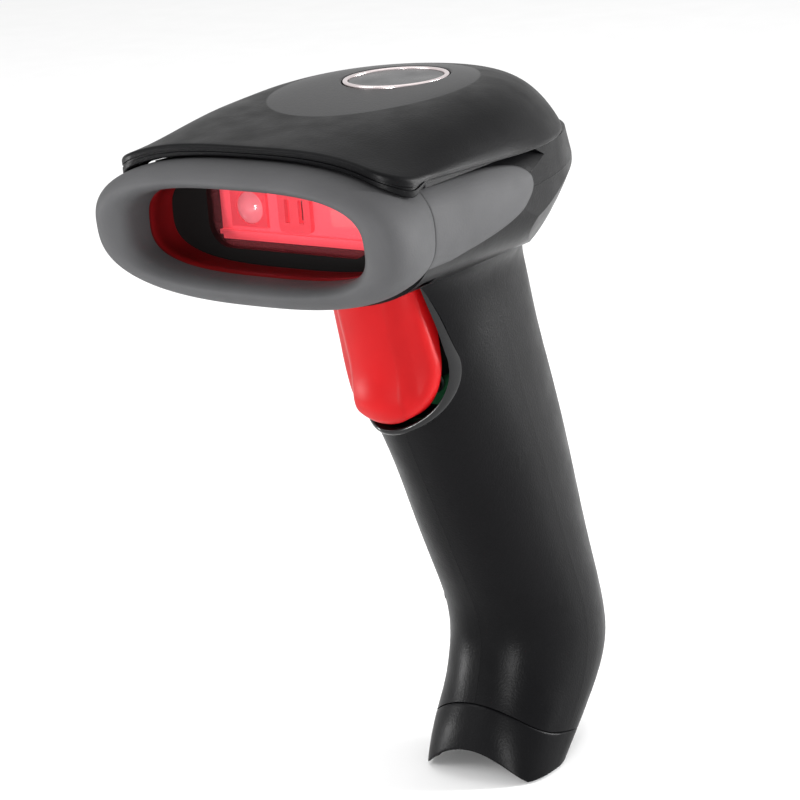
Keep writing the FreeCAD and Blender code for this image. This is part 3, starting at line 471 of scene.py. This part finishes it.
def cover():
    edge = cover_outline(0.0)
    inner = cover_outline(COVER_WALL)
    spine = np.stack([np.zeros(len(edge)), np.clip(edge[:, 1], -66.0, TAIL_CENTRE + 8)], axis=1)
    centre = np.array([0.0, BADGE_Y])
    away = edge - centre
    away /= np.linalg.norm(away, axis=1)[:, None]
    brink = centre + away * (BADGE_RADIUS + 0.9)
    top = crown(edge[:, 0], edge[:, 1])
    ahead = smooth((NOSE_BACK - edge[:, 1]) / 6.0)
    clear = nose_top(edge[:, 0]) + 0.5
    bottom = rim_z(edge[:, 1]) - 0.95 * ahead * np.maximum(0, rim_z(edge[:, 1]) - clear)
    bottom = np.where(edge[:, 1] < NOSE_BACK, np.maximum(bottom, clear), bottom)
    loops = []

    def add(flat, z):
        loops.append(np.column_stack([flat, z]))

    def drape(flat, sink=0.0):
        add(flat, crown(flat[:, 0], flat[:, 1]) - sink)

    # the underside, from the middle out
    for t in np.linspace(1, 0, 12):
        flat = inner + (spine - inner) * t
        add(flat, np.maximum(crown(flat[:, 0], flat[:, 1]) - COVER_WALL, rim_z(flat[:, 1]) + 0.6))

    # the wall and its rolled edges, with a shallow groove below the upper edge
    height = top - bottom
    upper_roll = np.minimum(COVER_ROUND, 0.38 * height)
    lower_roll = np.minimum(0.3, 0.2 * height)
    flat = cover_outline(1.9)
    add(flat, bottom + 0.6)
    add(flat, bottom)
    for turn in np.linspace(0, math.pi / 2, 5):
        add(cover_outline(0.3 * (1 - math.sin(turn))), bottom + lower_roll * (1 - math.cos(turn)))
    groove = 0.35 * smooth((height - 1.6) / 0.8)
    normal = cover_outline(1.0) - edge
    for share, depth in ((0.36, 0.0), (0.40, 1.0), (0.52, 1.0), (0.56, 0.0)):
        add(edge + normal * (groove * depth)[:, None], bottom + height * share)
    for turn in np.linspace(0, math.pi / 2, 7):
        drape(cover_outline(COVER_ROUND * (1 - math.cos(turn))), upper_roll * (1 - math.sin(turn)))

    # the top, up to the well that holds the badge
    start = cover_outline(COVER_ROUND)
    for t in np.linspace(0, 1, 30)[1:]:
        drape(start + (brink - start) * t)
    for radius, sink in ((BADGE_RADIUS + 0.55, 0.0), (BADGE_RADIUS + 0.3, 0.12), (BADGE_RADIUS + 0.12, 0.5)):
        drape(centre + away * radius, sink)
    for radius in (BADGE_RADIUS + 0.12, 0.6 * BADGE_RADIUS, 0.0):
        add(centre + away * radius, np.full(len(edge), BADGE_FLOOR))
    loops_piece("cover_shell", loops, ["top_cover"], "scanner_body", COVER_BLACK)


cover()


# ---------------------------------------------------------------- badge
def lathe(name, profile, node, material, count=128):
    """Skin of a profile of radius and height turned about the badge's axis."""
    turn = np.linspace(0, 2 * math.pi, count, endpoint=False)
    loops = [np.stack([r * np.cos(turn), BADGE_Y + r * np.sin(turn), np.full(count, z)], axis=1)
             for r, z in profile]
    loops_piece(name, loops, [node], "scanner_body", material, ring=profile[0][0] > 1)


def rolled(r0, r1, z0, z1, radius, steps=5):
    """Rectangle of a ring's section with rounded upper corners."""
    points = [(r0, z0), (r1, z0)]
    for t in np.linspace(0, math.pi / 2, steps):
        points.append((r1 - radius + radius * math.cos(t), z1 - radius + radius * math.sin(t)))
    for t in np.linspace(math.pi / 2, math.pi, steps):
        points.append((r0 + radius + radius * math.cos(t), z1 - radius + radius * math.sin(t)))
    return points


lathe("badge_rim", rolled(BADGE_RADIUS - 1.1, BADGE_RADIUS, BADGE_FLOOR, RIDGE - 0.1, 0.35), "badge_ring",
      SILVER)
disc = BADGE_RADIUS - 1.15
lathe("badge_disc", [(0.0, BADGE_FLOOR), (disc, BADGE_FLOOR), (disc, RIDGE - 0.6), (disc - 0.2, RIDGE - 0.42),
                     (disc - 0.8, RIDGE - 0.4), (disc * 0.5, RIDGE - 0.4), (0.0, RIDGE - 0.4)], "badge_plate",
      PLATE)


# ---------------------------------------------------------------- trigger and its surround
def tongue_path(grow, top, count=180):
    """The trigger's outline grown by an amount, from its right top down round the tip to its left top."""
    half, drop = TRIGGER_HALF + grow, TRIGGER_DROP + grow
    side = np.linspace((half - 1.0, top), (half, TRIGGER_MIDDLE_Z), 60)
    sweep = np.linspace(0, -math.pi, 200)
    arc = np.stack([half * np.cos(sweep), TRIGGER_MIDDLE_Z + drop * np.sin(sweep)], axis=1)
    path = np.concatenate([side, arc[1:-1], side[::-1] * (-1, 1)])
    length = np.concatenate([[0], np.cumsum(np.linalg.norm(np.diff(path, axis=0), axis=1))])
    at = np.linspace(0, length[-1], count)
    return np.stack([np.interp(at, length, path[:, 0]), np.interp(at, length, path[:, 1])], axis=1)


def trigger_piece():
    edge = tongue_path(0.0, TRIGGER_TOP_Z)
    top = np.linspace(edge[-1], edge[0], 30)[1:-1]
    edge = np.concatenate([edge, top])
    spine = np.stack([np.zeros(len(edge)), np.clip(edge[:, 1], 97.0, 110.0)], axis=1)
    inward = spine - edge
    inward /= np.linalg.norm(inward, axis=1)[:, None]
    front_limit = TRIGGER_BACK - 0.1
    loops = []

    def add(flat, y):
        loops.append(np.stack([flat[:, 0], y, flat[:, 1]], axis=1))

    for t in np.linspace(1, 0, 5):
        add(edge + (spine - edge) * t, np.full(len(edge), TRIGGER_BACK))
    for turn in np.linspace(0, math.pi / 2, 9):
        flat = edge + inward * TRIGGER_ROUND * (1 - math.cos(turn))
        front = pad_front(flat[:, 0], flat[:, 1]) + TRIGGER_ROUND * (1 - math.sin(turn))
        add(flat, np.minimum(front, front_limit))
    start = edge + inward * TRIGGER_ROUND
    for t in np.linspace(0, 1, 24)[1:]:
        flat = start + (spine - start) * t
        add(flat, np.minimum(pad_front(flat[:, 0], flat[:, 1]), front_limit))
    loops_piece("trigger_pad", loops, ["trigger"], "trigger_lever", TRIGGER_RED)


def surround():
    """A rim with a round front, swept along the trigger's outline."""
    half = BEZEL_WIDTH / 2
    path = tongue_path(BEZEL_GAP + half, BEZEL_TOP_Z)
    ahead = np.gradient(path, axis=0)
    normal = np.stack([-ahead[:, 1], ahead[:, 0]], axis=1)
    normal /= np.linalg.norm(normal, axis=1)[:, None]
    sections = []
    for (x, z), (across_x, across_z) in zip(path, normal):
        section = [(x + way * across_x * half, BEZEL_BACK, z + way * across_z * half) for way in (-1, 1)]
        for turn in np.linspace(0, math.pi, 13):
            offset = half * math.cos(turn)
            px, pz = x + across_x * offset, z + across_z * offset
            front = float(bezel_front(px, pz)) + 0.8 * half * (1 - math.sin(turn))
            section.append((px, min(front, BEZEL_BACK - 0.2), pz))
        sections.append(section)
    loops_piece("trigger_surround", np.swapaxes(np.array(sections), 0, 1), ["trigger_bezel"],
                "scanner_body", GLOSS_BLACK, ring=True, around=False)


trigger_piece()
surround()


# ---------------------------------------------------------------- foot
def foot():
    angles = even_angles(18.0, 15.8, 2.3, 280)

    def level(z, inset=0.0):
        x, y = grip_point(angles, z, inset)
        return np.stack([x, y, z], axis=1)

    def loop(inset, height, lift=0.0):
        """Loop where the grip's skin meets a height that depends on the place, found by repeated steps."""
        z = np.full(len(angles), 3.0)
        for _ in range(12):
            x, y = grip_point(angles, z, inset)
            z = 0.5 * z + 0.5 * (height(x, y) + lift)
        return level(z, inset)

    loops = []
    for turn in np.linspace(0, math.pi / 2, 5):
        loops.append(loop(FOOT_LIP * (1 - math.sin(turn)), rim_arch_z, FOOT_LIP * (1 - math.cos(turn))))
    low, high = loops[-1][:, 2].copy(), loop(0.0, seam_z, -FOOT_ROUND)[:, 2]
    for t in np.linspace(0, 1, 22)[1:]:
        loops.append(level(low + (high - low) * t))
    for turn in np.linspace(0, math.pi / 2, 7)[1:]:
        loops.append(loop(FOOT_ROUND * (1 - math.cos(turn)), seam_z, -FOOT_ROUND * (1 - math.sin(turn))))
    loops.append(loop(FOOT_WALL, seam_z))
    inner_high, inner_low = loops[-1][:, 2], loop(FOOT_WALL, rim_arch_z)[:, 2]
    for t in np.linspace(0, 1, 14)[1:-1]:
        loops.append(level(inner_high + (inner_low - inner_high) * t, FOOT_WALL))
    loops.append(loop(FOOT_WALL, rim_arch_z, 0.3))
    loops.append(loop(1.7, rim_arch_z, 0.0))
    loops_piece("foot_ring", loops, ["base_cap"], "scanner_body", BLACK, ring=True)


foot()


# ---------------------------------------------------------------- the CAD pieces that show as they are
SHOWN = {
    BLACK: ["body_shell_right", "body_shell_left", "upper_frame", "screw_plugs"],
    MASK: ["optics_mask", "lens_barrel"],
    GASKET: ["window_gasket"],
    WINDOW: ["scan_window"],
    CARRIER: ["optics_carrier"],
    LENS: ["imaging_lens"],
    OPTIC_FRAME: ["lens_frame", "aimer_bezel"],
    SENSOR: ["image_sensor"],
    GUIDE: ["light_guide"],
    LED: ["illumination_leds"],
    BOARD: ["engine_pcb", "main_pcb", "switch_pcb", "jack_pcb"],
    CHIP: ["decoder_chip", "memory_chip", "interface_chip", "buzzer"],
    IVORY: ["board_connectors"],
    RIBBON: ["ribbon_cable"],
    STEEL: ["engine_screws", "board_screws", "trigger_pivot_pin", "trigger_spring"],
    DARK_STEEL: ["handle_screws", "cover_screws"],
    GREY_PLASTIC: ["switch_plunger"],
    DARK_PLASTIC: ["micro_switch", "cable_socket", "wiring_harness"],
    GOLD: ["socket_contacts"],
}
for material, names in SHOWN.items():
    for node in names:
        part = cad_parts[node]
        part.data.materials.clear()
        part.data.materials.append(material)


# ---------------------------------------------------------------- camera, floor and lights
def aim(target, azimuth, elevation, roll, distance):
    """Placement of a camera that looks at a target, with angles in degrees."""
    az, el, tilt = math.radians(azimuth), math.radians(elevation), math.radians(roll)
    forward = Vector((-math.sin(az) * math.cos(el), math.cos(az) * math.cos(el), -math.sin(el)))
    right = Vector((math.cos(az), math.sin(az), 0))
    up = right.cross(forward)
    side = right * math.cos(tilt) + up * math.sin(tilt)
    head = up * math.cos(tilt) - right * math.sin(tilt)
    matrix = Matrix((side, head, -forward)).transposed().to_4x4()
    matrix.translation = Vector(target) - forward * distance
    return matrix


def area_light(name, spot, target, size, power):
    data = bpy.data.lights.new(name, "AREA")
    data.shape = "RECTANGLE"
    data.size, data.size_y = size
    data.energy = power
    lamp = bpy.data.objects.new(name, data)
    bpy.context.scene.collection.objects.link(lamp)
    lamp.location = spot
    lamp.rotation_euler = (Vector(target) - Vector(spot)).to_track_quat("-Z", "Y").to_euler()


camera_data = bpy.data.cameras.new("camera")
camera_data.lens = 129.6
camera_data.sensor_width = 36.0
camera_data.clip_start = 0.05
camera = bpy.data.objects.new("camera", camera_data)
bpy.context.scene.collection.objects.link(camera)
camera.matrix_world = aim((0.0, -0.030, 0.0914), azimuth=36.5, elevation=16.3, roll=-4.6, distance=0.600)
bpy.context.scene.camera = camera

floor_mesh = bpy.data.meshes.new("floor")
floor_half = 4
corners = [(-floor_half, -floor_half, 0), (floor_half, -floor_half, 0), (floor_half, floor_half, 0),
           (-floor_half, floor_half, 0)]
floor_mesh.from_pydata(corners, [], [(0, 1, 2, 3)])
floor = bpy.data.objects.new("floor", floor_mesh)
bpy.context.scene.collection.objects.link(floor)
floor.location.z = -0.0005
floor_mesh.materials.append(finish("floor_white", (0.90, 0.90, 0.90), 0.8, shade=0.01, shine=0.0))

world = bpy.data.worlds.new("studio")
bpy.context.scene.world = world
world.use_nodes = True
world.node_tree.nodes["Background"].inputs["Color"].default_value = (1, 1, 1, 1)
world.node_tree.nodes["Background"].inputs["Strength"].default_value = 0.92
bpy.context.scene.view_settings.view_transform = "Standard"

HEAD = (0, -0.03, 0.12)
HANDLE = (0, 0, 0.06)
FOOT = (0, 0, 0.03)
area_light("key", (-0.55, -0.75, 0.70), HEAD, size=(0.45, 0.45), power=3.2)
area_light("side", (0.50, 0.42, 0.16), HANDLE, size=(0.06, 0.5), power=9.0)
area_light("top", (-0.1, 0.10, 1.1), HEAD, size=(1.0, 1.0), power=3.0)
area_light("front", (0.30, -0.8, 0.12), FOOT, size=(0.10, 0.30), power=6.0)
area_light("left", (-0.62, -0.33, 0.05), FOOT, size=(0.10, 0.10), power=2.5)
